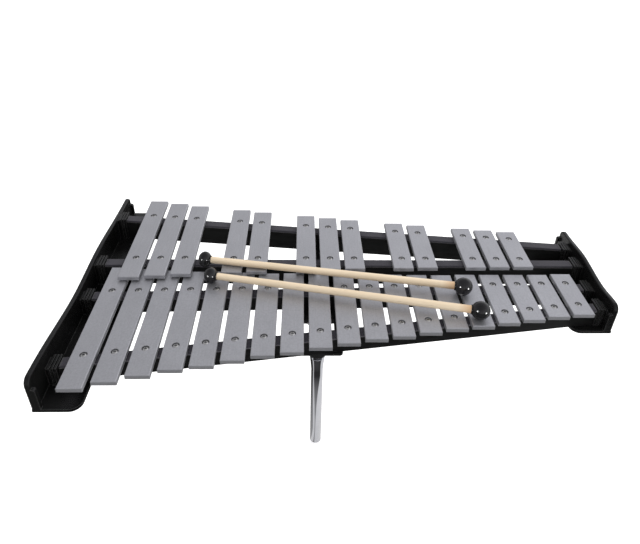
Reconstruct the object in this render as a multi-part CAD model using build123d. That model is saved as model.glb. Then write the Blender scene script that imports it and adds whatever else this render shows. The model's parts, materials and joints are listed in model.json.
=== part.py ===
"""Bell kit: a 32-bar metal xylophone on a post, with two mallets.

Everything is first built in the keyboard frame: x = 0 on the centre line of
the lowest natural bar, y = 0 on the screw line of the front rail of the
accidentals, z = 0 on top of the natural bars.  The player stands at -Y and
the pitch rises towards +X.  write_parts() then moves each piece into the row
frame, whose origin is the centre of the post's lower end.
"""
from build123d import *
import math
import os

# ---------------------------------------------------------------- driving sizes
BAR_PITCH = 30.0            # natural bars, centre to centre
BAR_WIDTH = 24.5
BAR_THICKNESS = 5.0
BAR_EDGE = 0.6              # chamfer round the top of each bar
BAR_HOLE_R = 4.0
NATURAL_COUNT = 19
NATURAL_LONGEST = 196.0     # the F bar
NATURAL_HALVING = 23.0      # semitones that halve the length of a natural bar
ACCIDENTAL_LONGEST = 188.0
ACCIDENTAL_HALVING = 24.0
ACCIDENTAL_RISE = 7.0       # tops of the accidentals above the naturals

RAIL_WIDTH = 14.0
FELT_THICKNESS = 3.0
GROMMET_FLANGE = 2.0        # rubber between a bar and the felt
CAP_FLOOR_Z = -28.0         # the rails stand on this plane
CAP_BASE_Z = -31.5          # underside of the end caps

WALL_GAP = 35.0             # end bar centre line to the inside of the cap's wall
WALL_THICKNESS = 5.5
CAP_WIDTH = 46.0            # outer wall face to the floor's inner edge

POST_X = 8 * BAR_PITCH      # the post stands under the ninth natural bar
POST_Y = -58.0
POST_R = 7.6
TUBE_THICKNESS = 1.8
SPIGOT_R = 6.0
POST_END_Z = -266.0         # lower end of the post
SOCKET_END_Z = -99.5        # lower end of the receiver's tube

# ---------------------------------------------------------------- derived places
ACCIDENTAL_Z = ACCIDENTAL_RISE
LAST_BAR_X = (NATURAL_COUNT - 1) * BAR_PITCH
LEFT_WALL_X = -WALL_GAP
RIGHT_WALL_X = LAST_BAR_X + WALL_GAP

SEMITONES_FROM_F = [0, 2, 4, 6, 7, 9, 11]
NOTE_LETTERS = "fgabcde"


class Rail:
    """One rail: a straight bar under a line of screws, y = y0 + slope * x."""

    def __init__(self, name, y0, slope, bar_top):
        self.name = name
        self.y0 = y0
        self.slope = slope
        self.bar_top = bar_top
        self.felt_top = bar_top - BAR_THICKNESS - GROMMET_FLANGE
        self.top = self.felt_top - FELT_THICKNESS

    def y(self, x):
        return self.y0 + self.slope * x


NATURAL_FRONT = Rail("natural_front", -161.9, 0.149, 0.0)
NATURAL_REAR = Rail("natural_rear", -57.0, 0.029, 0.0)
ACCIDENTAL_FRONT = Rail("accidental_front", 0.0, 0.0, ACCIDENTAL_Z)
ACCIDENTAL_REAR = Rail("accidental_rear", 103.3, -0.1147, ACCIDENTAL_Z)
RAILS = [ACCIDENTAL_REAR, ACCIDENTAL_FRONT, NATURAL_REAR, NATURAL_FRONT]


class Bar:
    """One tuned bar, lying along Y and centred between its two rails."""

    def __init__(self, name, x, length, front, rear):
        self.name = name
        self.x = x
        self.length = length
        self.front = front
        self.rear = rear
        self.top = front.bar_top

    def screws(self):
        return [(self.x, self.front.y(self.x)), (self.x, self.rear.y(self.x))]

    def middle_y(self):
        return (self.front.y(self.x) + self.rear.y(self.x)) / 2


def natural_semitone(index):
    """Semitones of a natural bar above the lowest F."""
    return 12 * (index // 7) + SEMITONES_FROM_F[index % 7]


def note_name(semitone, letter, sharp):
    octave = 5 + (semitone + 5) // 12
    accidental = "_sharp" if sharp else ""
    return f"bar_{semitone + 1:02d}_{letter}{octave}{accidental}"


def make_scale():
    """All 32 bars, from the left to the right end of both rows."""
    bars = []
    for index in range(NATURAL_COUNT):
        semitone = natural_semitone(index)
        letter = NOTE_LETTERS[index % 7]
        length = NATURAL_LONGEST * 2 ** (-semitone / NATURAL_HALVING)
        name = note_name(semitone, letter, sharp=False)
        bars.append(Bar(name, index * BAR_PITCH, length, NATURAL_FRONT, NATURAL_REAR))
        has_sharp = natural_semitone(index + 1) - semitone == 2
        if has_sharp and index < NATURAL_COUNT - 1:
            sharp = semitone + 1
            length = ACCIDENTAL_LONGEST * 2 ** (-sharp / ACCIDENTAL_HALVING)
            name = note_name(sharp, letter, sharp=True)
            x = (index + 0.5) * BAR_PITCH
            bars.append(Bar(name, x, length, ACCIDENTAL_FRONT, ACCIDENTAL_REAR))
    return bars


BARS = make_scale()


# ---------------------------------------------------------------- small helpers
def rod(start, end, radius):
    """A round bar from one point to another."""
    span = Vector(*end) - Vector(*start)
    middle = (Vector(*start) + Vector(*end)) / 2
    return Plane(origin=middle, z_dir=span).location * Cylinder(radius, span.length)


def cylinder(x, y, z_low, z_high, radius):
    return Pos(x, y, (z_low + z_high) / 2) * Cylinder(radius, z_high - z_low)


def block(x_range, y_range, z_range):
    size = [high - low for low, high in (x_range, y_range, z_range)]
    middle = [(high + low) / 2 for low, high in (x_range, y_range, z_range)]
    return Pos(*middle) * Box(*size)


def along_rail(rail, x_range, half_width, z_range):
    """A strip that follows a rail's line, cut square to X at both ends."""
    x_low, x_high = x_range
    corners = [
        (x_low, rail.y(x_low) - half_width),
        (x_high, rail.y(x_high) - half_width),
        (x_high, rail.y(x_high) + half_width),
        (x_low, rail.y(x_low) + half_width),
    ]
    outline = make_face(Polyline(*corners, close=True))
    strip = extrude(outline, z_range[1] - z_range[0], dir=(0, 0, 1))
    return Pos(0, 0, z_range[0]) * strip


RECESS_DEPTH = 1.2
RECESS_WIDTH = 0.9


def cross_recess(length, width=RECESS_WIDTH, axis=Axis.Z):
    """Two crossed slots that cut RECESS_DEPTH deep when centred on a screw head's face."""
    across = 2 * RECESS_DEPTH
    if axis == Axis.X:
        return Box(across, length, width) + Box(across, width, length)
    return Box(length, width, across) + Box(width, length, across)


def turned(profile, x, y):
    """Revolve an outline of (radius, z) points about a vertical axis."""
    outline = make_face(Polyline(*[(r, 0, z) for r, z in profile], close=True))
    return Pos(x, y, 0) * revolve(outline, Axis.Z)


# ---------------------------------------------------------------- bars and fasteners
SCREW_HEAD_R = 3.2
SCREW_HEAD_HEIGHT = 1.9
SCREW_HEAD_DROP = 0.3       # head below the bar's top
SCREW_RIM = 0.45            # upright part of the head, as a share of its height
SCREW_RECESS_WIDTH = 1.3
SCREW_SHANK_R = 1.5
SCREW_LENGTH = 21.0
SCREW_CLEARANCE = 0.1       # where a shank passes freely
THREAD_GAP = 0.02           # where it is threaded in
GROMMET_SLEEVE_R = 3.8
GROMMET_FLANGE_R = 6.0


def make_bar(bar):
    body = Pos(bar.x, bar.middle_y(), bar.top - BAR_THICKNESS / 2) * Box(
        BAR_WIDTH, bar.length, BAR_THICKNESS
    )
    body = chamfer(body.faces().sort_by(Axis.Z)[-1].edges(), BAR_EDGE)
    for x, y in bar.screws():
        body -= cylinder(x, y, bar.top - BAR_THICKNESS - 1, bar.top + 1, BAR_HOLE_R)
    return body


def make_grommet(x, y, bar_top):
    """Rubber sleeve in the bar's hole, with a flange that carries the bar."""
    under = bar_top - BAR_THICKNESS
    sleeve_top = bar_top - SCREW_HEAD_DROP - SCREW_HEAD_HEIGHT
    grommet = cylinder(x, y, under - GROMMET_FLANGE, under, GROMMET_FLANGE_R)
    grommet += cylinder(x, y, under, sleeve_top, GROMMET_SLEEVE_R)
    bore_r = SCREW_SHANK_R + SCREW_CLEARANCE
    return grommet - cylinder(x, y, under - GROMMET_FLANGE - 1, sleeve_top + 1, bore_r)


def make_bar_screw(x, y, bar_top):
    """Domed head with a cross recess, on a plain shank."""
    head_top = bar_top - SCREW_HEAD_DROP
    head_base = head_top - SCREW_HEAD_HEIGHT
    rim = head_base + SCREW_HEAD_HEIGHT * SCREW_RIM
    dome = [(0, head_base), (SCREW_HEAD_R, head_base), (SCREW_HEAD_R, rim)]
    dome += [(SCREW_HEAD_R * 0.6, head_top - 0.15), (0, head_top)]
    screw = turned(dome, x, y)
    screw += cylinder(x, y, head_top - SCREW_LENGTH, head_base, SCREW_SHANK_R)
    return screw - Pos(x, y, head_top) * cross_recess(SCREW_HEAD_R, SCREW_RECESS_WIDTH)


def screw_places(rail):
    """Screw points (x, y) on one rail."""
    return [
        (x, y)
        for bar in BARS
        if rail in (bar.front, bar.rear)
        for x, y in bar.screws()
        if abs(y - rail.y(x)) < 0.01
    ]


def make_bar_screws():
    return [make_bar_screw(x, y, rail.bar_top) for rail in RAILS for x, y in screw_places(rail)]


def make_grommets():
    return [make_grommet(x, y, rail.bar_top) for rail in RAILS for x, y in screw_places(rail)]


# ---------------------------------------------------------------- rails and felt
SOCKET_DEPTH = 12.0         # how far a rail's socket stands out from the wall
RAIL_END_GAP = 0.2
RAIL_SIDE_GAP = 0.1         # between a rail and its socket, each side
FELT_END_GAP = 0.3
END_SCREW_R = 2.0
END_SCREW_HEAD_R = 4.0
END_SCREW_HEAD = 2.2
END_SCREW_CHAMFER = 0.7
END_SCREW_LENGTH = 30.0


def end_screw_rod(cap, rail, start, length, radius):
    """A rod on the axis of a rail's end screw, from start mm inside the cap's wall."""
    y = rail.y(cap.inner_x)
    z = (rail.top + CAP_FLOOR_Z) / 2
    outer, inner = cap.inner_x - cap.side * start, cap.inner_x - cap.side * (start + length)
    return rod((outer, y, z), (inner, y, z), radius)


def make_rail(rail):
    x_range = (LEFT_WALL_X + RAIL_END_GAP, RIGHT_WALL_X - RAIL_END_GAP)
    body = along_rail(rail, x_range, RAIL_WIDTH / 2, (CAP_FLOOR_Z, rail.top))
    hole_r = SCREW_SHANK_R + THREAD_GAP
    depth = rail.bar_top - SCREW_HEAD_DROP - SCREW_LENGTH - 1
    for x, y in screw_places(rail):
        body -= cylinder(x, y, depth, rail.top + 1, hole_r)
    for cap in CAPS:
        body -= end_screw_rod(cap, rail, -1, END_SCREW_LENGTH, END_SCREW_R + THREAD_GAP)
    for x, y in brace_screw_places(rail):
        hole_top = CAP_FLOOR_Z + BRACE_SCREW_BITE + 1
        body -= cylinder(x, y, CAP_FLOOR_Z - 1, hole_top, BRACE_SCREW_R + THREAD_GAP)
    return body


def make_felt(rail):
    x_range = (
        LEFT_WALL_X + SOCKET_DEPTH + FELT_END_GAP,
        RIGHT_WALL_X - SOCKET_DEPTH - FELT_END_GAP,
    )
    strip = along_rail(rail, x_range, RAIL_WIDTH / 2, (rail.top, rail.felt_top))
    for x, y in screw_places(rail):
        strip -= cylinder(x, y, rail.top - 1, rail.felt_top + 1, SCREW_SHANK_R + SCREW_CLEARANCE)
    return strip


# ---------------------------------------------------------------- end caps
CAP_CORNER_R = 12.0         # floor corners, seen from above
CAP_FRONT_TOP_R = 9.0       # top corner of the wall nearest the player
CAP_REAR_TOP_R = 8.0
WALL_OUTER_ROUND = 1.8      # rounding along the top edge of the wall
WALL_INNER_ROUND = 1.2
RETURN_DEPTH = 3.5          # upright lips inside the wall, at its front and rear ends
RETURN_WIDTH = 4.5
RETURN_DROP = 3.0           # lips end this far below the wall's rounded corners
RETURN_ROUND = 2.5
RIB_THICKNESS = 2.0
RIB_COUNT = 3
SOCKET_WALL = 1.6           # plastic each side of a rail end
RIB_STAND_OUT = 1.6
RIB_RISE = 2.5              # ribs above the top of the felt
WALL_CREST_Y = 2.0          # the wall's top edge is an S between its crest and its dip
WALL_DIP_Y = -60.0


class EndCap:
    """One moulded end cap; side = -1 is the left cap, side = 1 the right one."""

    def __init__(self, name, side, front_y, rear_y, heights):
        self.name = name
        self.side = side
        self.front_y = front_y
        self.rear_y = rear_y
        self.rear_z, self.crest_z, self.dip_z, self.front_z = heights
        self.inner_x = LEFT_WALL_X if side < 0 else RIGHT_WALL_X

    def x_range(self, start, depth):
        """From start mm inside the wall's inner face, for depth mm inwards."""
        near = self.inner_x - self.side * start
        far = near - self.side * depth
        return min(near, far), max(near, far)


# heights of the wall's S-shaped top edge: at the rear, at its crest, in its dip, at the front
LEFT_CAP = EndCap("end_cap_left", -1, -208.5, 167.5, (-0.5, 4.8, 2.2, 10.5))
RIGHT_CAP = EndCap("end_cap_right", 1, -97.0, 71.0, (7.0, 9.8, 5.6, 7.8))
CAPS = [LEFT_CAP, RIGHT_CAP]


def wall_outline(cap):
    """Side view of the wall, in the YZ plane: an S along the top, round corners."""
    front, rear = cap.front_y, cap.rear_y
    front_r, rear_r = CAP_FRONT_TOP_R, CAP_REAR_TOP_R
    front_corner_z = cap.front_z - front_r
    rear_corner_z = cap.rear_z - rear_r
    start = (front + front_r, cap.front_z)
    finish = (rear - rear_r, cap.rear_z)
    dip = (WALL_DIP_Y, cap.dip_z)
    crest = (WALL_CREST_Y, cap.crest_z)
    cut = 1 - math.sqrt(0.5)
    front_mid = (front + front_r * cut, cap.front_z - front_r * cut)
    rear_mid = (rear - rear_r * cut, cap.rear_z - rear_r * cut)
    edges = [
        Line((front, CAP_BASE_Z), (front, front_corner_z)),
        ThreePointArc((front, front_corner_z), front_mid, start),
        Spline(start, dip, crest, finish, tangents=[(1, 0), (1, 0)]),
        ThreePointArc(finish, rear_mid, (rear, rear_corner_z)),
        Line((rear, rear_corner_z), (rear, CAP_BASE_Z)),
        Line((rear, CAP_BASE_Z), (front, CAP_BASE_Z)),
    ]
    return make_face(Wire(edges))


def make_cap_wall(cap):
    """The upright wall, rounded along its top edge and down both ends."""
    x_low, x_high = cap.x_range(-WALL_THICKNESS, WALL_THICKNESS)
    slab = extrude(Plane.YZ * wall_outline(cap), x_high - x_low, dir=(1, 0, 0))
    slab = Pos(x_low, 0, 0) * slab
    sides = slab.faces().sort_by(Axis.X)
    outer_face, inner_face = (sides[0], sides[-1]) if cap.side < 0 else (sides[-1], sides[0])
    outer_edges = outer_face.edges().sort_by(Axis.Z)[1:]
    inner_edges = inner_face.edges().filter_by(lambda edge: edge.center().Z > CAP_FLOOR_Z + 1)
    inner_edges = inner_edges.filter_by(Axis.Z, reverse=True)
    slab = fillet(outer_edges, WALL_OUTER_ROUND)
    return fillet(matching_edges(slab, inner_edges), WALL_INNER_ROUND)


def matching_edges(solid, edges):
    """The solid's own edges that lie where the given edges lay before it was cut."""
    centres = [edge.center() for edge in edges]
    return [
        edge for edge in solid.edges()
        if any((edge.center() - centre).length < 0.01 for centre in centres)
    ]


def make_cap_floor(cap):
    x_range = cap.x_range(-WALL_THICKNESS, CAP_WIDTH)
    floor = block(x_range, (cap.front_y, cap.rear_y), (CAP_BASE_Z, CAP_FLOOR_Z))
    inner_edges = floor.edges().filter_by(Axis.Z).sort_by(Axis.X)
    inner_edges = inner_edges[-2:] if cap.side < 0 else inner_edges[:2]
    return fillet(inner_edges, CAP_CORNER_R)


def make_cap_return(cap, y_range, top_z):
    """Upright lip inside the wall, at one of its ends."""
    lip = block(cap.x_range(-1, RETURN_DEPTH + 1), y_range, (CAP_FLOOR_Z - 1, top_z))
    inner_face = lip.faces().sort_by(Axis.X)[-1 if cap.side < 0 else 0]
    return fillet(inner_face.edges().sort_by(Axis.Z)[-1], RETURN_ROUND)


def make_rail_socket(cap, rail):
    """Ribbed block that the end of a rail plugs into."""
    y = rail.y(cap.inner_x)
    core_half = RAIL_WIDTH / 2 + SOCKET_WALL
    rib_half = core_half + RIB_STAND_OUT
    core_top = rail.felt_top
    rib_top = rail.felt_top + RIB_RISE
    socket = block(cap.x_range(0, SOCKET_DEPTH), (y - core_half, y + core_half), (CAP_FLOOR_Z, core_top))
    spacing = (SOCKET_DEPTH - RIB_THICKNESS) / RIB_COUNT
    for number in range(1, RIB_COUNT + 1):
        x_range = cap.x_range(number * spacing, RIB_THICKNESS)
        socket += block(x_range, (y - rib_half, y + rib_half), (CAP_FLOOR_Z, rib_top))
    return socket


def make_end_cap(cap):
    front_lip_y = (cap.front_y, cap.front_y + RETURN_WIDTH)
    front_lip_z = cap.front_z - CAP_FRONT_TOP_R - RETURN_DROP
    rear_lip_y = (cap.rear_y - RETURN_WIDTH, cap.rear_y)
    rear_lip_z = cap.rear_z - CAP_REAR_TOP_R - RETURN_DROP
    body = make_cap_floor(cap) + make_cap_wall(cap)
    body += make_cap_return(cap, front_lip_y, front_lip_z)
    body += make_cap_return(cap, rear_lip_y, rear_lip_z)
    for rail in RAILS:
        body += make_rail_socket(cap, rail)
    pocket_half = RAIL_WIDTH / 2 + RAIL_SIDE_GAP
    hole_length = WALL_THICKNESS + 2
    for rail in RAILS:
        pocket_x = cap.x_range(0, SOCKET_DEPTH + 1)
        body -= along_rail(rail, pocket_x, pocket_half, (CAP_FLOOR_Z, rail.top + RAIL_SIDE_GAP))
        body -= end_screw_rod(cap, rail, -hole_length, hole_length + 1, END_SCREW_R + SCREW_CLEARANCE)
    return body


def make_rail_end_screws():
    """Pan-head screws through the cap walls into the ends of the rails."""
    outside = -WALL_THICKNESS
    screws = []
    for cap in CAPS:
        for rail in RAILS:
            shank = end_screw_rod(cap, rail, outside, END_SCREW_LENGTH, END_SCREW_R)
            head = end_screw_rod(cap, rail, outside - END_SCREW_HEAD, END_SCREW_HEAD, END_SCREW_HEAD_R)
            outer_face = head.faces().sort_by(Axis.X)[-1 if cap.side > 0 else 0]
            head = chamfer(outer_face.edges(), END_SCREW_CHAMFER)
            recess = Pos(outer_face.center()) * cross_recess(END_SCREW_HEAD_R * 1.1, axis=Axis.X)
            screws.append(shank + head - recess)
    return screws


# ---------------------------------------------------------------- brace and stand
BRACE_HALF_WIDTH = 25.5
BRACE_THICKNESS = 3.0
BRACE_CORNER_R = 4.0
BRACE_WINDOW_HALF = 17.5
BRACE_WINDOW_REAR = -76.0
BRACE_WINDOW_FRONT = -113.0
BRACE_SCREW_R = 1.8
BRACE_SCREW_HEAD_R = 3.6
COUNTERSINK_LIP = 0.3       # straight edge round a countersunk head
BRACE_SCREW_BITE = 9.0      # length of a brace screw inside the rail
BRACE_SCREW_OFFSET = 20.5   # either side of the post
RECEIVER_HALF_X = 21.0
RECEIVER_HALF_Y = 17.0
RECEIVER_FLANGE = 3.0
RECEIVER_CORNER_R = 5.0
EDGE_BREAK = 1.0            # chamfer on the receiver's mouth and the spigot's tip
RECEIVER_TUBE_R = 11.5
RECEIVER_FIT = 0.08         # radial, for the spigot
CLOSE_FIT = 0.05            # radial, for screws that turn in a plain hole
RECEIVER_SCREW_R = 2.0
RECEIVER_SCREW_HEAD_R = 3.8
RECEIVER_SCREW_HEAD = 2.4
RECEIVER_SCREW_X = 16.0
RECEIVER_SCREW_Y = 13.0
CLAMP_Z = -74.0
CLAMP_BOSS_R = 8.0
CLAMP_BOSS_END = RECEIVER_TUBE_R + 9.0
CLAMP_SCREW_R = 3.0
CLAMP_TIP_GAP = 0.3         # between the screw's tip and the spigot
CLAMP_HUB_R = 5.5
CLAMP_HUB_LENGTH = 9.0
WING_THICKNESS = 3.0
WING_ROUND = 1.6
RING_THICKNESS = 4.0
RING_R = 10.0
RING_CHAMFER = 0.7
RING_FIT = 0.06
FLARE_LENGTH = 24.0
FLARE_R = 9.6

BRACE_TOP_Z = CAP_FLOOR_Z
BRACE_LOW_Z = BRACE_TOP_Z - BRACE_THICKNESS
RECEIVER_TOP_Z = BRACE_LOW_Z
SPIGOT_TOP_Z = RECEIVER_TOP_Z - RECEIVER_FLANGE - 2
SHOULDER_Z = SOCKET_END_Z - RING_THICKNESS


def brace_screw_places(rail):
    return [(POST_X + side, rail.y(POST_X + side)) for side in (-BRACE_SCREW_OFFSET, BRACE_SCREW_OFFSET)]


def receiver_screw_places():
    return [
        (POST_X + dx, POST_Y + dy)
        for dx in (-RECEIVER_SCREW_X, RECEIVER_SCREW_X)
        for dy in (-RECEIVER_SCREW_Y, RECEIVER_SCREW_Y)
    ]


def countersink(x, y, z_low):
    """A 90 degree countersink that opens downwards at z_low."""
    lip_top = z_low + COUNTERSINK_LIP
    cone_top = lip_top + BRACE_SCREW_HEAD_R - BRACE_SCREW_R
    profile = [(0, z_low), (BRACE_SCREW_HEAD_R, z_low), (BRACE_SCREW_HEAD_R, lip_top)]
    profile += [(BRACE_SCREW_R, cone_top), (0, cone_top)]
    return turned(profile, x, y)


def make_centre_brace():
    """Steel plate under all four rails, with a window behind the front rail."""
    x_range = (POST_X - BRACE_HALF_WIDTH, POST_X + BRACE_HALF_WIDTH)
    front = NATURAL_FRONT.y(POST_X) - RAIL_WIDTH / 2
    rear = ACCIDENTAL_REAR.y(POST_X) + RAIL_WIDTH / 2
    plate = block(x_range, (front, rear), (BRACE_LOW_Z, BRACE_TOP_Z))
    plate = fillet(plate.edges().filter_by(Axis.Z), BRACE_CORNER_R)
    window_x = (POST_X - BRACE_WINDOW_HALF, POST_X + BRACE_WINDOW_HALF)
    window_y = (BRACE_WINDOW_FRONT, BRACE_WINDOW_REAR)
    plate -= block(window_x, window_y, (BRACE_LOW_Z - 1, BRACE_TOP_Z + 1))
    for rail in RAILS:
        for x, y in brace_screw_places(rail):
            plate -= countersink(x, y, BRACE_LOW_Z)
            plate -= cylinder(x, y, BRACE_LOW_Z - 1, BRACE_TOP_Z + 1, BRACE_SCREW_R + CLOSE_FIT)
    for x, y in receiver_screw_places():
        plate -= cylinder(x, y, BRACE_LOW_Z - 1, BRACE_TOP_Z + 1, RECEIVER_SCREW_R + THREAD_GAP)
    return plate


def make_brace_screws():
    screws = []
    for rail in RAILS:
        for x, y in brace_screw_places(rail):
            screw = countersink(x, y, BRACE_LOW_Z)
            screw += cylinder(x, y, BRACE_LOW_Z + 0.5, BRACE_TOP_Z + BRACE_SCREW_BITE, BRACE_SCREW_R)
            screws.append(screw - Pos(x, y, BRACE_LOW_Z) * cross_recess(BRACE_SCREW_HEAD_R * 1.1))
    return screws


def clamp_rod(start, end, radius):
    """A rod on the clamp screw's axis, which runs back from the post."""
    return rod((POST_X, POST_Y + start, CLAMP_Z), (POST_X, POST_Y + end, CLAMP_Z), radius)


def make_receiver():
    """Flange and socket tube that take the post, with a boss for the clamp screw."""
    flange_low = RECEIVER_TOP_Z - RECEIVER_FLANGE
    flange = block(
        (POST_X - RECEIVER_HALF_X, POST_X + RECEIVER_HALF_X),
        (POST_Y - RECEIVER_HALF_Y, POST_Y + RECEIVER_HALF_Y),
        (flange_low, RECEIVER_TOP_Z),
    )
    flange = fillet(flange.edges().filter_by(Axis.Z), RECEIVER_CORNER_R)
    tube = cylinder(POST_X, POST_Y, SOCKET_END_Z, flange_low, RECEIVER_TUBE_R)
    tube = chamfer(tube.faces().sort_by(Axis.Z)[0].edges(), EDGE_BREAK)
    body = flange + tube + clamp_rod(0, CLAMP_BOSS_END, CLAMP_BOSS_R)
    body -= cylinder(POST_X, POST_Y, SOCKET_END_Z - 1, flange_low, SPIGOT_R + RECEIVER_FIT)
    body -= clamp_rod(0, CLAMP_BOSS_END + 1, CLAMP_SCREW_R + CLOSE_FIT)
    for x, y in receiver_screw_places():
        body -= cylinder(x, y, flange_low - 1, RECEIVER_TOP_Z + 1, RECEIVER_SCREW_R + SCREW_CLEARANCE)
    return body


def make_receiver_screws():
    """Four machine screws, from below, threaded into the brace."""
    screws = []
    head_top = RECEIVER_TOP_Z - RECEIVER_FLANGE
    head_low = head_top - RECEIVER_SCREW_HEAD
    for x, y in receiver_screw_places():
        head = cylinder(x, y, head_low, head_top, RECEIVER_SCREW_HEAD_R)
        head = chamfer(head.faces().sort_by(Axis.Z)[0].edges(), END_SCREW_CHAMFER)
        shank = cylinder(x, y, head_top, BRACE_TOP_Z, RECEIVER_SCREW_R)
        recess = Pos(x, y, head_low) * cross_recess(RECEIVER_SCREW_HEAD_R * 1.1)
        screws.append(head + shank - recess)
    return screws


def make_wing(side):
    """One wing, swept back from the hub; side = -1 or 1."""
    hub = CLAMP_BOSS_END + 1
    tip = hub + CLAMP_HUB_LENGTH + 7
    outline = Polyline(
        (side * CLAMP_HUB_R / 2, hub + 1),
        (side * CLAMP_HUB_R / 2, tip - 8),
        (side * 12, tip),
        (side * 17, tip - 1),
        (side * 17.5, tip - 6.5),
        (side * 9, hub + 3),
        close=True,
    )
    wing = extrude(make_face(outline), WING_THICKNESS / 2, both=True)
    wing = fillet(wing.edges().filter_by(Axis.Z), WING_ROUND)
    return Pos(POST_X, POST_Y, CLAMP_Z) * wing


def make_clamp_screw():
    """Wing screw whose tip grips the spigot."""
    hub = CLAMP_BOSS_END + 1
    screw = clamp_rod(SPIGOT_R + CLAMP_TIP_GAP, hub, CLAMP_SCREW_R)
    screw += clamp_rod(hub, hub + CLAMP_HUB_LENGTH, CLAMP_HUB_R)
    return screw + make_wing(-1) + make_wing(1)


def make_stand_tube():
    """Chromed tube that flares into a shoulder at its upper end."""
    flare_low = SHOULDER_Z - FLARE_LENGTH
    bore_r = POST_R - TUBE_THICKNESS
    outline = Polyline((bore_r, POST_END_Z), (POST_R, POST_END_Z), (POST_R, flare_low))
    outline += TangentArc((POST_R, flare_low), (FLARE_R, SHOULDER_Z), tangent=(0, 1))
    outline += Polyline((FLARE_R, SHOULDER_Z), (SPIGOT_R, SHOULDER_Z), (SPIGOT_R, flare_low))
    outline += Polyline((SPIGOT_R, flare_low), (bore_r, flare_low), (bore_r, POST_END_Z))
    section = Plane.XZ * make_face(outline)
    return Pos(POST_X, POST_Y, 0) * revolve(section, Axis.Z)


def make_stand_spigot():
    """Solid pin pressed into the tube; the receiver drops over it."""
    low = SHOULDER_Z - FLARE_LENGTH
    spigot = cylinder(POST_X, POST_Y, low, SPIGOT_TOP_Z, SPIGOT_R)
    return chamfer(spigot.faces().sort_by(Axis.Z)[-1].edges(), EDGE_BREAK)


def make_swivel_ring():
    """Loose ring on the shoulder that the receiver turns on."""
    ring = cylinder(POST_X, POST_Y, SHOULDER_Z, SOCKET_END_Z, RING_R)
    ring = chamfer(ring.edges().filter_by(GeomType.CIRCLE), RING_CHAMFER)
    return ring - cylinder(POST_X, POST_Y, SHOULDER_Z - 1, SOCKET_END_Z + 1, SPIGOT_R + RING_FIT)


# ---------------------------------------------------------------- mallets
HEAD_R = 10.6
TAIL_R = 9.6                # the tail knob is a flattened ball: across the stick
TAIL_HALF_LENGTH = 7.8      # and along it
SHAFT_HEAD_R = 4.6
SHAFT_TAIL_R = 4.2
STICK_IN_TAIL = 0.4         # the stick reaches past each ball's centre by this share
STICK_IN_HEAD = 0.5
REST_GAP = 0.05


class Mallet:
    """A stick with a playing ball at one end and a flattened knob at the other."""

    def __init__(self, name, tail, head):
        self.name = name
        self.tail = Vector(*tail)
        self.head = Vector(*head)

    def length(self):
        return (self.head - self.tail).length

    def plane(self, origin):
        return Plane(origin=origin, z_dir=(self.head - self.tail).normalized())


# the rear mallet's stick lies on the accidentals, the front one on the naturals
REAR_MALLET = Mallet("rear", (101.6, -10.0, 11.65), (408.3, -62.5, HEAD_R + REST_GAP))
FRONT_MALLET = Mallet("front", (112.5, -40.7, TAIL_R + REST_GAP), (417.6, -106.0, HEAD_R + REST_GAP))
MALLETS = [REAR_MALLET, FRONT_MALLET]


def mallet_stick(mallet):
    """Slightly tapered stick; both ends stop inside the ball and the knob."""
    forward = (mallet.head - mallet.tail).normalized()
    in_tail = TAIL_HALF_LENGTH * STICK_IN_TAIL
    in_head = HEAD_R * STICK_IN_HEAD
    low = mallet.plane(mallet.tail - forward * in_tail)
    length = mallet.length() + in_tail + in_head
    outline = Polyline(
        (0, 0, 0),
        (SHAFT_TAIL_R, 0, 0),
        (SHAFT_HEAD_R, 0, length),
        (0, 0, length),
        close=True,
    )
    return low.location * revolve(make_face(outline), Axis.Z)


def mallet_head(mallet):
    return mallet.plane(mallet.head).location * Sphere(HEAD_R) - mallet_stick(mallet)


def mallet_tail(mallet):
    knob = scale(Sphere(TAIL_R), by=(1, 1, TAIL_HALF_LENGTH / TAIL_R))
    return mallet.plane(mallet.tail).location * knob - mallet_stick(mallet)


# ---------------------------------------------------------------- output
TO_ROW_FRAME = Pos(-POST_X, -POST_Y, -POST_END_Z)


def all_parts():
    """Every node of the assembly: name -> one solid, or a list of equal ones."""
    parts = {bar.name: make_bar(bar) for bar in BARS}
    for rail in RAILS:
        parts[f"rail_{rail.name}"] = make_rail(rail)
        parts[f"felt_{rail.name}"] = make_felt(rail)
    for cap in CAPS:
        parts[cap.name] = make_end_cap(cap)
    parts["bar_screws"] = make_bar_screws()
    parts["bar_grommets"] = make_grommets()
    parts["rail_end_screws"] = make_rail_end_screws()
    parts["centre_brace"] = make_centre_brace()
    parts["brace_screws"] = make_brace_screws()
    parts["stand_receiver"] = make_receiver()
    parts["receiver_screws"] = make_receiver_screws()
    parts["clamp_wing_screw"] = make_clamp_screw()
    parts["swivel_ring"] = make_swivel_ring()
    parts["stand_tube"] = make_stand_tube()
    parts["stand_spigot"] = make_stand_spigot()
    for mallet in MALLETS:
        parts[f"mallet_{mallet.name}_stick"] = mallet_stick(mallet)
        parts[f"mallet_{mallet.name}_head"] = mallet_head(mallet)
        parts[f"mallet_{mallet.name}_tail"] = mallet_tail(mallet)
    return parts


def write_parts():
    os.makedirs("parts", exist_ok=True)
    for name, shape in all_parts().items():
        solids = shape if isinstance(shape, list) else [shape]
        moved = [TO_ROW_FRAME * solid for solid in solids]
        export_step(Compound(children=moved) if len(moved) > 1 else moved[0], f"parts/{name}.step")


write_parts()
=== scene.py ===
import bpy
import bmesh
import json
import math
from mathutils import Matrix, Vector, noise


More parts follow.
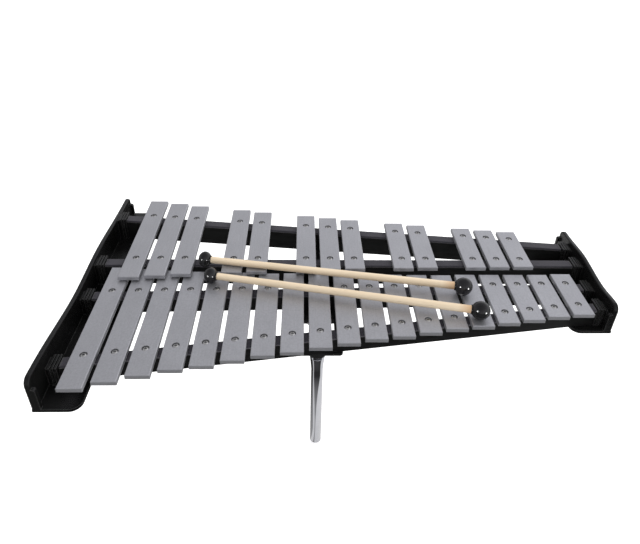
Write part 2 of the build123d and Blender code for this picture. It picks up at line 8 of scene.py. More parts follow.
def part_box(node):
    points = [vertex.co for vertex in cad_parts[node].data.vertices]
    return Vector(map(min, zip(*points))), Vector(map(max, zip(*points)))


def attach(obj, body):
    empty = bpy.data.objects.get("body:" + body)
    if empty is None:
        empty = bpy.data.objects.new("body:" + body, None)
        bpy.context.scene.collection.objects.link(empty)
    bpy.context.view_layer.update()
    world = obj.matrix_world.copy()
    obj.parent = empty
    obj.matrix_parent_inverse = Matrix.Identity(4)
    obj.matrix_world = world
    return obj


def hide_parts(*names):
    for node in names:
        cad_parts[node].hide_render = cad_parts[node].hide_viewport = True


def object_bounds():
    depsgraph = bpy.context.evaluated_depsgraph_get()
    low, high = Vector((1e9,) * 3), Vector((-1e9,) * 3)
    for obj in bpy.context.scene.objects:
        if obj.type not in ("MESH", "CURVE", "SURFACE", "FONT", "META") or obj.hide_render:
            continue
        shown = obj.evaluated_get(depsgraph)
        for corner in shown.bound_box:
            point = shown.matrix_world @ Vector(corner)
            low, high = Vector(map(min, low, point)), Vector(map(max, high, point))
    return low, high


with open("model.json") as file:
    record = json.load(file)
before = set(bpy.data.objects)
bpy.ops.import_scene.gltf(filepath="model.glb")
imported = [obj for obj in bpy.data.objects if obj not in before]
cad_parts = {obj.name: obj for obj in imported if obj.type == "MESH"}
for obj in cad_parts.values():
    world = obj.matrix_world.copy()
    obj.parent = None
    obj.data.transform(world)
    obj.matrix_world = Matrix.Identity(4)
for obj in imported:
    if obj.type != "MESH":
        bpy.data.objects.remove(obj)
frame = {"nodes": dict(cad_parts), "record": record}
CAD_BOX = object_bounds()
NODES = frame["nodes"]

MM = 0.001
Z_AXIS = Vector((0, 0, 1))
BAR_NODES = [name for name in sorted(NODES) if name.startswith("bar_") and name[4:6].isdigit()]
RAIL_NODES = [name for name in sorted(NODES) if name.startswith("rail_") and "screw" not in name]
FELT_NODES = [name for name in sorted(NODES) if name.startswith("felt_")]
CAP_NODES = ["end_cap_left", "end_cap_right"]


# ---------------------------------------------------------------- shader helpers
class Graph:
    """A node tree that is built one link at a time."""

    def __init__(self, tree):
        self.tree = tree

    def node(self, kind, **settings):
        made = self.tree.nodes.new(kind)
        for key, value in settings.items():
            setattr(made, key, value)
        return made

    def link(self, source, target):
        self.tree.links.new(source, target)

    def put(self, socket, value):
        """Link a socket to another one, or give it a plain value."""
        if isinstance(value, bpy.types.NodeSocket):
            self.link(value, socket)
        else:
            socket.default_value = value

    def feed(self, node, **inputs):
        """Put values into a node's inputs by name, with _ for a space."""
        for key, value in inputs.items():
            self.put(node.inputs[key.replace("_", " ")], value)
        return node

    def split(self, vector):
        """A vector's parts, as sockets named X, Y and Z."""
        node = self.node("ShaderNodeSeparateXYZ")
        self.link(vector, node.inputs[0])
        return node.outputs

    def remap(self, value, low, high, from_low=0.3, from_high=0.7):
        node = self.node("ShaderNodeMapRange")
        self.feed(node, Value=value, From_Min=from_low, From_Max=from_high, To_Min=low, To_Max=high)
        return node.outputs[0]

    def mix(self, factor, first, second, blend="MIX"):
        node = self.node("ShaderNodeMix", data_type="RGBA", blend_type=blend)
        self.put(node.inputs[0], factor)
        self.put(node.inputs[6], first)
        self.put(node.inputs[7], second)
        return node.outputs[2]

    def math(self, operation, first, second=0.0):
        node = self.node("ShaderNodeMath", operation=operation)
        self.put(node.inputs[0], first)
        self.put(node.inputs[1], second)
        return node.outputs[0]

    def vector_math(self, operation, first, second=(0, 0, 0)):
        node = self.node("ShaderNodeVectorMath", operation=operation)
        self.put(node.inputs[0], first)
        self.put(node.inputs[1], second)
        return node.outputs

    def reflected_as(self, plain, reflected):
        """The plain shader, except that reflections see the other one."""
        switch = self.node("ShaderNodeMixShader")
        self.link(self.node("ShaderNodeLightPath").outputs["Is Glossy Ray"], switch.inputs[0])
        self.link(plain, switch.inputs[1])
        self.link(reflected, switch.inputs[2])
        return switch.outputs[0]


class Shader(Graph):
    """A material, with procedural texture in the object's own metres."""

    def __init__(self, name):
        self.material = bpy.data.materials.new(name)
        self.material.use_nodes = True
        super().__init__(self.material.node_tree)
        self.principled = self.tree.nodes["Principled BSDF"]
        self.coordinates = self.node("ShaderNodeTexCoord").outputs["Object"]

    def noise(self, scale, stretch=(1, 1, 1), detail=3.0, roughness=0.5):
        """Noise with scale features per metre, drawn out along the axes with a small stretch."""
        mapping = self.feed(self.node("ShaderNodeMapping"), Vector=self.coordinates, Scale=stretch)
        texture = self.node("ShaderNodeTexNoise")
        self.feed(texture, Vector=mapping.outputs[0], Scale=scale, Detail=detail, Roughness=roughness)
        return texture.outputs["Fac"]

    def rounded_normal(self, radius):
        return self.feed(self.node("ShaderNodeBevel", samples=4), Radius=radius).outputs[0]

    def edge_mask(self, radius):
        """1 on edges that are sharper than the rounding radius, 0 on open faces."""
        flat = self.node("ShaderNodeNewGeometry").outputs["Normal"]
        dot = self.vector_math("DOT_PRODUCT", self.rounded_normal(radius), flat)
        return self.remap(dot["Value"], 1.0, 0.0, 0.75, 0.98)

    def bump(self, height, depth, normal=None):
        node = self.feed(self.node("ShaderNodeBump"), Height=height, Distance=depth, Strength=1.0)
        if normal is not None:
            self.link(normal, node.inputs["Normal"])
        return node.outputs[0]

    def finish(self, **inputs):
        self.feed(self.principled, **inputs)
        return self.material


def grey(level, tint=(1.0, 1.0, 1.0)):
    """An opaque colour, neutral unless tinted."""
    return (level * tint[0], level * tint[1], level * tint[2], 1.0)


# ---------------------------------------------------------------- materials
COOL = (0.975, 0.98, 1.04)


def bar_material():
    """Satin metal: fine brushing along the bar, faint clouding, and edges lightened as a painted
    highlight.
    """
    s = Shader("bar_satin_metal")
    brushing = s.noise(900, stretch=(1.6, 0.05, 1.6), detail=4)
    grain = s.noise(2600, detail=2)
    mottle = s.noise(520, detail=3, roughness=0.65)
    clouds = s.noise(22, detail=2)
    tone = s.mix(s.remap(clouds, 0, 1), grey(0.44, COOL), grey(0.48, COOL))
    tone = s.mix(s.remap(brushing, 0.0, 0.35), tone, grey(0.35, COOL))
    tone = s.mix(s.remap(mottle, 0.0, 0.45, 0.42, 0.66), tone, grey(0.33, COOL))
    # painted highlight: the edge mask lightens the bar's edges
    tone = s.mix(s.math("MULTIPLY", s.edge_mask(0.45 * MM), 0.6), tone, grey(0.58))
    rough = s.math("ADD", s.remap(brushing, 0.40, 0.50), s.remap(grain, -0.03, 0.03))
    height = s.math("ADD", s.math("MULTIPLY", brushing, 0.6), s.math("MULTIPLY", grain, 0.4))
    normal = s.bump(height, 0.014 * MM, s.rounded_normal(0.35 * MM))
    return s.finish(Base_Color=tone, Metallic=0.75, Roughness=rough, Normal=normal)


def moulded_material():
    """Black moulded plastic with a fine spark texture and edges lightened as a painted highlight."""
    s = Shader("cap_moulded_plastic")
    spark = s.noise(1500, detail=3)
    clouds = s.noise(18, detail=3)
    tone = s.mix(s.remap(clouds, 0, 1), grey(0.003), grey(0.006))
    # painted highlight: the edge mask lightens the cap's edges to grey
    tone = s.mix(s.math("MULTIPLY", s.edge_mask(1.0 * MM), 0.7), tone, grey(0.10))
    rough = s.math("ADD", s.remap(clouds, 0.22, 0.34), s.remap(spark, -0.06, 0.06))
    normal = s.bump(spark, 0.03 * MM, s.rounded_normal(0.8 * MM))
    return s.finish(Base_Color=tone, Roughness=rough, Normal=normal, Specular_IOR_Level=0.28)


def rail_material():
    """Black paint over planed wood: the grain runs along the rail."""
    s = Shader("rail_black_paint")
    grain = s.noise(420, stretch=(0.03, 1, 1), detail=4)
    dust = s.noise(1200, detail=2)
    tone = s.mix(s.remap(grain, 0, 1), grey(0.003), grey(0.008))
    # painted highlight: the edge mask lightens the rail's edges a little
    tone = s.mix(s.math("MULTIPLY", s.edge_mask(0.5 * MM), 0.3), tone, (0.04, 0.036, 0.033, 1))
    rough = s.math("ADD", s.remap(grain, 0.40, 0.5), s.remap(dust, -0.05, 0.05))
    normal = s.bump(grain, 0.06 * MM, s.rounded_normal(0.5 * MM))
    return s.finish(Base_Color=tone, Roughness=rough, Normal=normal, Specular_IOR_Level=0.25)


def felt_material():
    """Pressed felt: matted fibres, soft sheen."""
    s = Shader("felt_pressed")
    fibres = s.noise(1400, stretch=(1, 0.45, 1), detail=5, roughness=0.7)
    mats = s.noise(160, detail=3)
    tone = s.mix(s.remap(fibres, 0, 1), (0.010, 0.009, 0.013, 1), (0.034, 0.031, 0.042, 1))
    tone = s.mix(s.remap(mats, 0.0, 0.4), tone, (0.028, 0.026, 0.034, 1))
    normal = s.bump(fibres, 0.25 * MM)
    return s.finish(
        Base_Color=tone, Roughness=0.95, Normal=normal, Sheen_Weight=0.2, Sheen_Roughness=0.5
    )


def bright_screw_material():
    """Bright zinc, stained a little, with painted shade in the cross recess, taken from ambient
    occlusion.
    """
    s = Shader("screw_bright_zinc")
    stain = s.noise(700, detail=3)
    tone = s.mix(s.remap(stain, 0, 1), grey(0.62), grey(0.74, (1.0, 0.99, 0.95)))
    # painted shade: ambient occlusion darkens the cross recess
    recess_shade = s.feed(s.node("ShaderNodeAmbientOcclusion", samples=8), Distance=1.2 * MM)
    tone = s.mix(s.remap(recess_shade.outputs["AO"], 1, 0, 0.35, 0.85), tone, grey(0.03))
    rough = s.remap(stain, 0.28, 0.42)
    normal = s.bump(s.noise(3000, detail=2), 0.01 * MM, s.rounded_normal(0.2 * MM))
    return s.finish(Base_Color=tone, Metallic=1.0, Roughness=rough, Normal=normal)


def dark_metal_material(name, low, high, rough_low, rough_high):
    """Black coated steel with a slight orange peel, and edges lightened in patches as a painted highlight
    broken up by the wear noise.
    """
    s = Shader(name)
    peel = s.noise(900, detail=2)
    wear = s.noise(60, detail=4)
    tone = s.mix(s.remap(wear, 0, 1), grey(low), grey(high))
    # painted highlight: the edge mask, broken up by the wear noise, lightens the edges
    edge_highlight = s.math("MULTIPLY", s.edge_mask(0.4 * MM), s.remap(wear, 0.1, 0.7))
    tone = s.mix(edge_highlight, tone, grey(0.12))
    rough = s.math("ADD", s.remap(wear, rough_low, rough_high), s.remap(peel, -0.04, 0.04))
    normal = s.bump(peel, 0.03 * MM, s.rounded_normal(0.3 * MM))
    return s.finish(Base_Color=tone, Metallic=0.2, Roughness=rough, Normal=normal, Specular_IOR_Level=0.3)


def rubber_material():
    """Black rubber with a dull grey bloom."""
    s = Shader("grommet_rubber")
    bloom = s.noise(300, detail=4)
    tone = s.mix(s.remap(bloom, 0, 1), grey(0.010), grey(0.020))
    normal = s.bump(s.noise(2200, detail=2), 0.03 * MM)
    return s.finish(Base_Color=tone, Roughness=s.remap(bloom, 0.6, 0.8), Normal=normal)


def chrome_material():
    """Polished chrome: nearly a mirror, with faint draw lines and finger haze."""
    s = Shader("chrome_polished")
    haze = s.noise(45, detail=4)
    lines = s.noise(1500, stretch=(1, 1, 0.02), detail=2)
    tone = s.mix(s.remap(haze, 0, 1), grey(0.74, COOL), grey(0.82, COOL))
    rough = s.math("ADD", s.remap(haze, 0.03, 0.07), s.remap(lines, -0.01, 0.01))
    normal = s.bump(lines, 0.002 * MM)
    return s.finish(Base_Color=tone, Metallic=1.0, Roughness=rough, Normal=normal)


def turned_steel_material(name, level):
    """Bare steel off the lathe: fine rings round its axis and light staining."""
    s = Shader(name)
    rings = s.noise(1600, stretch=(0.05, 0.05, 1), detail=3)
    stain = s.noise(90, detail=4)
    tone = s.mix(s.remap(stain, 0, 1), grey(level * 0.85), grey(level))
    rough = s.math("ADD", s.remap(stain, 0.25, 0.38), s.remap(rings, -0.04, 0.04))
    normal = s.bump(rings, 0.01 * MM, s.rounded_normal(0.3 * MM))
    return s.finish(Base_Color=tone, Metallic=1.0, Roughness=rough, Normal=normal)


def birch_material(axis, head, head_r):
    """Pale birch with its grain along the stick, darker where it was glued into the head."""
    s = Shader("mallet_birch")
    to_head = s.vector_math("DISTANCE", s.coordinates, head)["Value"]
    glue = s.remap(to_head, 0.75, 0.0, head_r + 3 * MM, head_r + 15 * MM)
    turn = axis.to_track_quat("X", "Z").inverted().to_euler()
    aligned = s.node("ShaderNodeMapping", vector_type="POINT")
    s.feed(aligned, Vector=s.coordinates, Rotation=tuple(turn))
    s.coordinates = aligned.outputs[0]
    grain = s.noise(520, stretch=(0.03, 1, 1), detail=5, roughness=0.6)
    bands = s.noise(150, stretch=(0.02, 1, 1), detail=2)
    flecks = s.noise(900, stretch=(0.08, 1, 1), detail=2)
    clouds = s.noise(14, detail=2)
    tone = s.mix(s.remap(bands, 0, 1), (0.70, 0.585, 0.43, 1), (0.62, 0.50, 0.35, 1))
    tone = s.mix(s.remap(grain, 0.0, 0.5), tone, (0.52, 0.40, 0.265, 1))
    tone = s.mix(s.remap(flecks, 0.0, 0.5, 0.66, 0.75), tone, (0.36, 0.26, 0.16, 1))
    tone = s.mix(s.remap(clouds, 0.0, 0.3), tone, (0.74, 0.63, 0.48, 1))
    tone = s.mix(glue, tone, (0.45, 0.27, 0.13, 1))
    normal = s.bump(grain, 0.05 * MM)
    rough = s.remap(grain, 0.42, 0.56)
    return s.finish(Base_Color=tone, Roughness=rough, Normal=normal, Coat_Weight=0.15, Coat_Roughness=0.3)


def ball_material():
    """Polished black phenolic: deep gloss with small dull marks from playing."""
    s = Shader("mallet_ball_gloss")
    marks = s.noise(350, detail=4)
    clouds = s.noise(40, detail=3)
    tone = s.mix(s.remap(clouds, 0, 1), grey(0.004), grey(0.009, (1.0, 0.98, 1.1)))
    rough = s.math("ADD", s.remap(clouds, 0.05, 0.10), s.remap(marks, 0.0, 0.25, 0.62, 0.75))
    normal = s.bump(marks, 0.005 * MM)
    return s.finish(Base_Color=tone, Roughness=rough, Normal=normal, Specular_IOR_Level=0.32)


FLOOR_SEEN = (0.34, 0.72)   # level of the floor in reflections, at its left and right limits
FLOOR_SEEN_X = (-0.40, 0.05)
FAN_REACH = 0.12            # distance from the post at which the dark fan is fully open
FAN_MIDDLE = (-28, 2)       # its direction at the post's foot and at full reach, in degrees
FAN_HALF = (8, 66)          # its half width at the same two places
FAN_LEVEL = (0.34, 0.025)   # and its brightness
FAN_SOFT = 4                # half width of its soft edges
SHADE_ANGLE = -85           # dark again beyond this, to the left


def dark_fan(s):
    """What makes the chrome read as dark: a mask of the floor, and how far out each point lies.

    The mask is a fan round the post's foot.  Its angle is 0 towards the player and grows to
    the right; it starts narrow and a little to the left, and opens further out.
    """
    place = s.split(s.coordinates)
    angle = s.math("ARCTAN2", place["X"], s.math("MULTIPLY", place["Y"], -1))
    flat = s.vector_math("MULTIPLY", s.coordinates, (1, 1, 0))["Vector"]
    distance = s.vector_math("LENGTH", flat)["Value"]
    middle = s.remap(distance, *map(math.radians, FAN_MIDDLE), 0, FAN_REACH)
    half = s.remap(distance, *map(math.radians, FAN_HALF), 0, FAN_REACH)
    off_middle = s.math("ABSOLUTE", s.math("SUBTRACT", angle, middle))
    soft = math.radians(FAN_SOFT)
    inside = s.remap(s.math("SUBTRACT", off_middle, half), 1, 0, -soft, soft)
    shade = math.radians(SHADE_ANGLE)
    far_left = s.remap(angle, 1, 0, shade - soft, shade + soft)
    return s.math("MAXIMUM", inside, far_left), distance


def floor_material():
    """Pale floor; reflections see a darker one, dimmer to the left, with a dark fan in front."""
    s = Shader("floor_pale")
    tone = s.mix(s.remap(s.noise(3, detail=4), 0, 1), grey(0.86), grey(0.88))
    s.finish(Base_Color=tone, Roughness=0.9, Emission_Color=grey(1.0), Emission_Strength=0.45)
    level = s.remap(s.split(s.coordinates)["X"], *FLOOR_SEEN, *FLOOR_SEEN_X)
    pale = s.mix(level, grey(0.0), grey(1.0))
    fan, distance = dark_fan(s)
    dark = s.mix(s.remap(distance, 0, 1, 0, FAN_REACH), *map(grey, FAN_LEVEL))
    seen = s.feed(s.node("ShaderNodeEmission"), Color=s.mix(fan, pale, dark))
    surface = s.reflected_as(s.principled.outputs[0], seen.outputs[0])
    s.link(surface, s.tree.nodes["Material Output"].inputs["Surface"])
    return s.material


def paint(names, material):
    """Give CAD nodes a material in place of their plain one."""
    for name in names:
        slots = NODES[name].data.materials
        slots.clear()
        slots.append(material)


# ---------------------------------------------------------------- mesh helpers
def add_object(name, mesh_data, material):
    """Turn a finished mesh into an object of the scene."""
    mesh_data.normal_update()
    mesh = bpy.data.meshes.new(name)
    mesh_data.to_mesh(mesh)
    mesh_data.free()
    mesh.materials.append(material)
    made = bpy.data.objects.new(name, mesh)
    bpy.context.scene.collection.objects.link(made)
    return made


def stand_for(piece, body, slot, *nodes):
    """The piece rides on a body and is shown in place of some CAD nodes."""
    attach(piece, body)
    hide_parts(*nodes)


def bridge_rings(mesh_data, rings):
    """Quads from each ring of vertices to the next."""
    for low, high in zip(rings, rings[1:]):
        count = len(low)
        for k in range(count):
            mesh_data.faces.new((low[k], low[(k + 1) % count], high[(k + 1) % count], high[k]))


def lathe(name, profile, base, axis, material, segments, closed=False):
    """Turn (radius, height) points about an axis through base; radius 0 makes a pole.

    With closed, the last point joins the first, as round a tube's wall.
    """
    turn = axis.to_track_quat("Z", "X").to_matrix()
    mesh_data = bmesh.new()
    rings = []
    for radius, height in profile:
        if radius <= 0:
            rings.append([mesh_data.verts.new(base + turn @ Vector((0, 0, height)))])
            continue
        ring = []
        for k in range(segments):
            angle = 2 * math.pi * k / segments
            point = Vector((radius * math.cos(angle), radius * math.sin(angle), height))
            ring.append(mesh_data.verts.new(base + turn @ point))
        rings.append(ring)
    for low, high in zip(rings, rings[1:]):
        if len(low) == 1:
            for k in range(segments):
                mesh_data.faces.new((low[0], high[(k + 1) % segments], high[k]))
        elif len(high) == 1:
            for k in range(segments):
                mesh_data.faces.new((low[k], low[(k + 1) % segments], high[0]))
        else:
            bridge_rings(mesh_data, [low, high])
    if closed:
        bridge_rings(mesh_data, [rings[-1], rings[0]])
    for face in mesh_data.faces:
        face.smooth = True
    bmesh.ops.recalc_face_normals(mesh_data, faces=mesh_data.faces)
    return add_object(name, mesh_data, material)


# ---------------------------------------------------------------- felt
FELT_STEP = 2.0 * MM
FELT_ROUND = 0.9 * MM
FELT_WOBBLE = 0.22 * MM     # how far the surface wanders
FELT_LUMPS = 300            # and how often, per metre
FELT_GAP = 0.02 * MM        # between a strip and the rubber on it


def felt_section(half_width, height):
    """Outline of a strip's cross-section: square foot, rounded top edges."""
    inner = half_width - FELT_ROUND
    shoulder = height - FELT_ROUND
    angles = [math.pi / 2 * k / 4 for k in range(5)]
    arc = [(FELT_ROUND * math.cos(angle), FELT_ROUND * math.sin(angle)) for angle in angles]
    left = [(-inner - x, shoulder + y) for x, y in arc]
    flat = [(inner * (2 * k / 7 - 1), height) for k in range(1, 7)]
    right = [(inner + x, shoulder + y) for x, y in reversed(arc)]
    return [(-half_width, 0.0)] + left + flat + right + [(half_width, 0.0)]


def strip_ends(node):
    """Middle of a straight strip's left and right ends at its foot, its half width, its height."""
    low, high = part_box(node)
    ends = []
    for x in (low.x, high.x):
        edge_highlight = [v.co.y for v in NODES[node].data.vertices if abs(v.co.x - x) < 0.1 * MM]
        ends.append(Vector((x, (min(edge_highlight) + max(edge_highlight)) / 2, low.z)))
        half_width = (max(edge_highlight) - min(edge_highlight)) / 2
    return ends[0], ends[1], half_width, high.z - low.z


def make_felt(node, material):
    """A felt strip along its rail, with soft edges and a slightly uneven surface."""
    start, end, half_width, height = strip_ends(node)
    section = felt_section(half_width - FELT_WOBBLE, height - FELT_GAP)
    steps = round((end - start).length / FELT_STEP)
    mesh_data = bmesh.new()
    rings = []
    for k in range(steps + 1):
        centre = start.lerp(end, k / steps)
        ring = []
        for across, up in section:
            point = centre + Vector((0, across, up))
            shift = FELT_WOBBLE * noise.noise(point * FELT_LUMPS)
            side = max(-1.0, min(1.0, across / half_width * 1.5))
            point += Vector((0, side * shift, -abs(shift) * up / height))
            ring.append(mesh_data.verts.new(point))
        rings.append(ring)
    bridge_rings(mesh_data, rings)
    mesh_data.faces.new(rings[0][::-1])
    mesh_data.faces.new(rings[-1])
    bmesh.ops.recalc_face_normals(mesh_data, faces=mesh_data.faces)
    for face in mesh_data.faces:
        face.smooth = len(face.verts) == 4
    piece = add_object("soft_" + node, mesh_data, material)
    stand_for(piece, "instrument", "felt", node)


# ---------------------------------------------------------------- mallets
KNOB_FLATTENING = 7.8 / 9.6     # a tail knob's half-length along the stick, over its radius
NECK = 1.0 * MM                 # collar at a ball's mouth
PARTING_DEPTH = 0.12 * MM
PARTING_ANGLE = 0.035           # half width of the parting line, in radians
STICK_GAP = 0.02 * MM           # between a stick and its hole
STICK_WAVE = 0.03 * MM          # unevenness of a turned stick
STICK_WAVE_ANGLE = 23           # and its waves over the whole stick, in radians


def ball_profile(radius, half_length, hole, bottom):
    """A turned ball with a parting line and a short neck; the stick's hole ends at bottom."""
    start = math.asin(hole / radius)
    count = 48
    profile = []
    for k in range(count + 1):
        angle = start + (math.pi - start) * k / count
        dip = PARTING_DEPTH * math.exp(-(((angle - math.pi / 2) / PARTING_ANGLE) ** 2))
        profile.append(((radius - dip) * math.sin(angle), -(half_length - dip) * math.cos(angle)))
    profile[-1] = (0.0, half_length)
    mouth = -half_length * math.cos(start)
    neck = mouth - NECK
    collar = [(0.0, bottom), (hole, bottom), (hole, neck), (hole + 0.7 * MM, neck)]
    collar += [(hole + 1.0 * MM, mouth - 0.6 * NECK), (hole + 1.0 * MM, mouth + 0.35 * MM)]
    return collar + profile[1:]


def stick_profile(length, tail_radius, head_radius):
    """Slim taper from tail to head, with a hand-turned unevenness too small to see at once."""
    count = 80
    profile = [(0.0, 0.0)]
    for k in range(count + 1):
        along = k / count
        radius = tail_radius + (head_radius - tail_radius) * along
        radius -= STICK_WAVE * (1 + math.sin(along * STICK_WAVE_ANGLE))
        profile.append((radius, along * length))
    return profile + [(0.0, length)]


def stick_ends(node, axis):
    """Centre and radius of a stick's two cut ends, square to the axis, the lower end first."""
    points = [vertex.co for vertex in NODES[node].data.vertices]
    along = [point.dot(axis) for point in points]
    ends = []
    for limit in (min(along), max(along)):
        ring = [point for point, reach in zip(points, along) if abs(reach - limit) < 0.5 * MM]
        low = Vector([min(point[k] for point in ring) for k in range(3)])
        high = Vector([max(point[k] for point in ring) for k in range(3)])
        centre = (low + high) / 2
        ends.append((centre, max((point - centre).length for point in ring)))
    return ends


def box_middle(node):
    """Centre of a node's box."""
    low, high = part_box(node)
    return (low + high) / 2


def box_radius(node):
    """Half the height of a node's box, which is a round part's radius."""
    low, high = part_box(node)
    return (high.z - low.z) / 2


def head_centre(node, radius):
    """Centre of a playing ball, whose box reaches its far side, its underside and both flanks."""
    low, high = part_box(node)
    return Vector((high.x - radius, (low.y + high.y) / 2, low.z + radius))


def tail_centre(node, radius, knob, start, axis):
    """Where the stick's axis meets the middle of its tail knob, an ellipsoid about that axis."""
    reach = math.sqrt((radius ** 2) * (1 - axis.x ** 2) + (knob * axis.x) ** 2)
    middle_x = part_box(node)[0].x + reach
    return start + axis * ((middle_x - start.x) / axis.x)


def make_mallet(side, gloss):
    """A birch stick with a gloss ball at its playing end and a flattened knob at its tail."""
    body = f"mallet_{side}"
    stick_node, head_node, tail_node = body + "_stick", body + "_head", body + "_tail"
    axis = (box_middle(head_node) - box_middle(tail_node)).normalized()
    (start, tail_hole), (end, head_hole) = stick_ends(stick_node, axis)
    head_r = box_radius(head_node)
    head = head_centre(head_node, head_r)
    tail_r = box_radius(tail_node)
    knob = tail_r * KNOB_FLATTENING
    tail = tail_centre(tail_node, tail_r, knob, start, axis)

    wood = birch_material(axis, head, head_r)
    profile = stick_profile((end - start).length, tail_hole - STICK_GAP, head_hole - STICK_GAP)
    stick = lathe(f"turned_{side}_stick", profile, start, axis, wood, segments=40)
    stand_for(stick, body, "birch", stick_node)
    profile = ball_profile(head_r, head_r, head_hole, (end - head).dot(axis))
    ball = lathe(f"turned_{side}_head", profile, head, axis, gloss, segments=72)
    stand_for(ball, body, "ball_plastic", head_node)
    profile = ball_profile(tail_r, knob, tail_hole, (tail - start).dot(axis))
    ball = lathe(f"turned_{side}_tail", profile, tail, -axis, gloss, segments=72)
    stand_for(ball, body, "ball_plastic", tail_node)


# ---------------------------------------------------------------- post
TUBE_WALL = 1.8 * MM
LIP = 0.5 * MM              # rolled edge of the shoulder
FOOT_ROUND = 0.4 * MM       # outer edge of the open foot
FOOT_BEVEL = 1.0 * MM       # height of the bevel inside it
SPIGOT_GAP = 0.01 * MM
FLARE_POWER = 1.35          # how late the flare opens


def make_post(material):
    """Chromed tube with an open foot, flaring to a rolled shoulder under the ring."""
    mounts = {mount["name"]: mount["dims"] for mount in frame["record"]["mounts"]}
    radius = mounts["stand_post"]["r_mm"] * MM
    straight = mounts["stand_post"]["length_mm"] * MM
    low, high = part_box("stand_tube")
    spigot_low, spigot_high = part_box("stand_spigot")
    shoulder_r = (high.x - low.x) / 2
    socket_r = (spigot_high.x - spigot_low.x) / 2 + SPIGOT_GAP
    bore_r = radius - TUBE_WALL
    top = high.z - low.z
    profile = [(bore_r, FOOT_BEVEL), (bore_r + FOOT_ROUND, 0.0), (radius - FOOT_ROUND, 0.0)]
    profile += [(radius, FOOT_ROUND), (radius, straight)]
    count = 24
    for k in range(1, count + 1):
        along = k / count
        wide = radius + (shoulder_r - radius) * along ** FLARE_POWER
        profile.append((wide, straight + (top - straight - LIP) * along))
    profile += [(shoulder_r - LIP * 0.3, top - LIP * 0.3), (shoulder_r - LIP, top)]
    profile += [(socket_r, top), (socket_r, straight), (bore_r, straight)]
    foot = Vector(((low.x + high.x) / 2, (low.y + high.y) / 2, low.z))
    post = lathe("post_chromed_tube", profile, foot, Z_AXIS, material, segments=96, closed=True)
    stand_for(post, "stand", "chromed_steel", "stand_tube")


# ---------------------------------------------------------------- studio
FLOOR_HALF = 9.0
FLOOR_DROP = 0.5 * MM       # the floor lies this far below the post's foot


def make_floor():
    """A large square floor under the post."""
    mesh_data = bmesh.new()
    z = CAD_BOX[0].z - FLOOR_DROP
    corners = [(-1, -1), (1, -1), (1, 1), (-1, 1)]
    mesh_data.faces.new([mesh_data.verts.new((x * FLOOR_HALF, y * FLOOR_HALF, z)) for x, y in corners])
    floor = add_object("floor", mesh_data, floor_material())


DOME_LEVEL = 1.15
# brightness of the studio in reflections, by the upward part of the direction
STUDIO_LEVELS = [(0.0, 1.0), (0.50, 0.78), (0.70, 0.54), (1.0, 0.36)]
STUDIO_SIDES = (0.58, 1.28)     # reflections are dimmer to the left than to the right


def make_world():
    """White dome for soft light; reflections see a studio that is darker overhead."""
    world = bpy.data.worlds.new("studio")
    world.use_nodes = True
    g = Graph(world.node_tree)
    g.tree.nodes.clear()
    direction = g.split(g.node("ShaderNodeTexCoord").outputs["Generated"])
    lift = g.node("ShaderNodeValToRGB")
    ramp = lift.color_ramp
    ramp.elements[0].color = grey(STUDIO_LEVELS[0][1])
    ramp.elements[1].color = grey(STUDIO_LEVELS[-1][1], COOL)
    for height, level in STUDIO_LEVELS[1:-1]:
        ramp.elements.new(height).color = grey(level, COOL)
    g.link(direction["Z"], lift.inputs[0])
    sideways = g.remap(direction["X"], *STUDIO_SIDES, -0.5, 0.5)
    seen = g.feed(g.node("ShaderNodeBackground"), Color=lift.outputs[0], Strength=sideways)
    dome = g.feed(g.node("ShaderNodeBackground"), Color=grey(1.0), Strength=DOME_LEVEL)
    surface = g.reflected_as(dome.outputs[0], seen.outputs[0])
    g.link(surface, g.node("ShaderNodeOutputWorld").inputs["Surface"])
    bpy.context.scene.world = world


KEY_PLACE = Vector((0.1, 0.75, 1.75))
KEY_SIZE = (1.6, 1.2)
KEY_POWER = 12
LAMP_DISTANCE = 1.4
LAMP_SIZE = (0.32, 0.32)
LAMP_POWER = 18
LAMP_UP = -0.15                 # where the lamps show on the balls, in ball radii
LAMPS_ACROSS = {"spark_left": -0.29, "spark_right": 0.59}

CAMERA_PLACE = Vector((-19.93, -536.99, 686.23)) * MM
CAMERA_LENS = 32.617            # on a sensor 36 mm wide
CAMERA_SHIFT = (-0.0051, -0.0416)
CAMERA_YAW, CAMERA_PITCH, CAMERA_ROLL = math.radians(2.50), math.radians(33.51), math.radians(-1.63)


def add_light(name, place, target, size, power):
    """A rectangular area lamp that faces its target."""
    data = bpy.data.lights.new(name, "AREA")
    data.shape = "RECTANGLE"
    data.size, data.size_y = size
    data.energy = power
    light = bpy.data.objects.new(name, data)
    light.location = place
    light.rotation_mode = "QUATERNION"
    light.rotation_quaternion = (target - place).to_track_quat("-Z", "Y")
    bpy.context.scene.collection.objects.link(light)
    return light


def mirrored_at(across, up, ball):
    """Direction in which the camera sees the studio at a ball's point, given in ball radii."""
    back = (CAMERA_PLACE - ball).normalized()
    right = Z_AXIS.cross(back).normalized()
    top = back.cross(right)
    normal = right * across + top * up + back * math.sqrt(1 - across ** 2 - up ** 2)
    return 2 * normal.dot(back) * normal - back


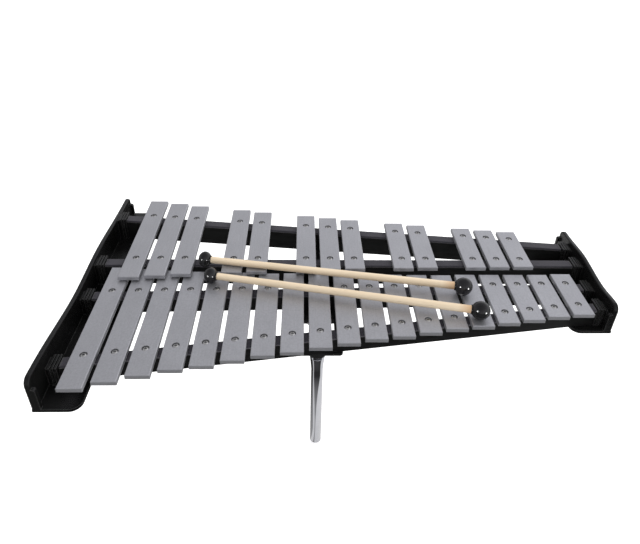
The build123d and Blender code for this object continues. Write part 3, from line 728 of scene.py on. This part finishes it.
def make_lights():
    """A soft key from above the far side, and two small lamps that only the mallet balls catch."""
    middle = Vector((0, 0, CAD_BOX[1].z))
    key = add_light("key_back", KEY_PLACE, middle, KEY_SIZE, KEY_POWER)
    key.visible_glossy = False
    balls = (box_middle("mallet_front_head") + box_middle("mallet_rear_head")) / 2
    sparkling = bpy.data.collections.new("mallet_balls")
    for side in ("front", "rear"):
        for part in ("head", "tail"):
            sparkling.objects.link(bpy.data.objects[f"turned_{side}_{part}"])
    for name, across in LAMPS_ACROSS.items():
        place = balls + LAMP_DISTANCE * mirrored_at(across, LAMP_UP, balls)
        lamp = add_light(name, place, balls, LAMP_SIZE, LAMP_POWER)
        lamp.light_linking.receiver_collection = sparkling


def make_camera():
    """Stands in front of the keyboard, a little to the left, looking down at it."""
    data = bpy.data.cameras.new("camera")
    data.sensor_width = 36.0
    data.lens = CAMERA_LENS
    data.shift_x, data.shift_y = CAMERA_SHIFT
    data.clip_start = 0.01
    level = Vector((math.cos(CAMERA_YAW), -math.sin(CAMERA_YAW), 0))
    ahead = Vector((math.sin(CAMERA_YAW), math.cos(CAMERA_YAW), 0))
    forward = ahead * math.cos(CAMERA_PITCH) - Z_AXIS * math.sin(CAMERA_PITCH)
    down = forward.cross(level)
    right = level * math.cos(CAMERA_ROLL) + down * math.sin(CAMERA_ROLL)
    up = level * math.sin(CAMERA_ROLL) - down * math.cos(CAMERA_ROLL)
    camera = bpy.data.objects.new("camera", data)
    axes = Matrix((right, up, -forward)).transposed().to_4x4()
    camera.matrix_world = Matrix.Translation(CAMERA_PLACE) @ axes
    bpy.context.scene.collection.objects.link(camera)
    bpy.context.scene.camera = camera


# ---------------------------------------------------------------- build
paint(BAR_NODES, bar_material())
paint(CAP_NODES, moulded_material())
paint(RAIL_NODES, rail_material())
paint(["bar_screws"], bright_screw_material())
paint(["bar_grommets"], rubber_material())
paint(["rail_end_screws", "brace_screws", "receiver_screws"],
      dark_metal_material("screw_black_oxide", 0.010, 0.022, 0.30, 0.42))
paint(["centre_brace", "stand_receiver"],
      dark_metal_material("steel_black_coat", 0.008, 0.016, 0.32, 0.45))
paint(["clamp_wing_screw"], turned_steel_material("wing_screw_steel", 0.62))
paint(["stand_spigot"], turned_steel_material("spigot_steel", 0.58))
chrome = chrome_material()
paint(["swivel_ring"], chrome)
felt = felt_material()
for felt_node in FELT_NODES:
    make_felt(felt_node, felt)
gloss = ball_material()
for mallet_side in ("rear", "front"):
    make_mallet(mallet_side, gloss)
make_post(chrome)
make_floor()
make_world()
make_lights()
make_camera()
bpy.context.scene.view_settings.view_transform = "Standard"
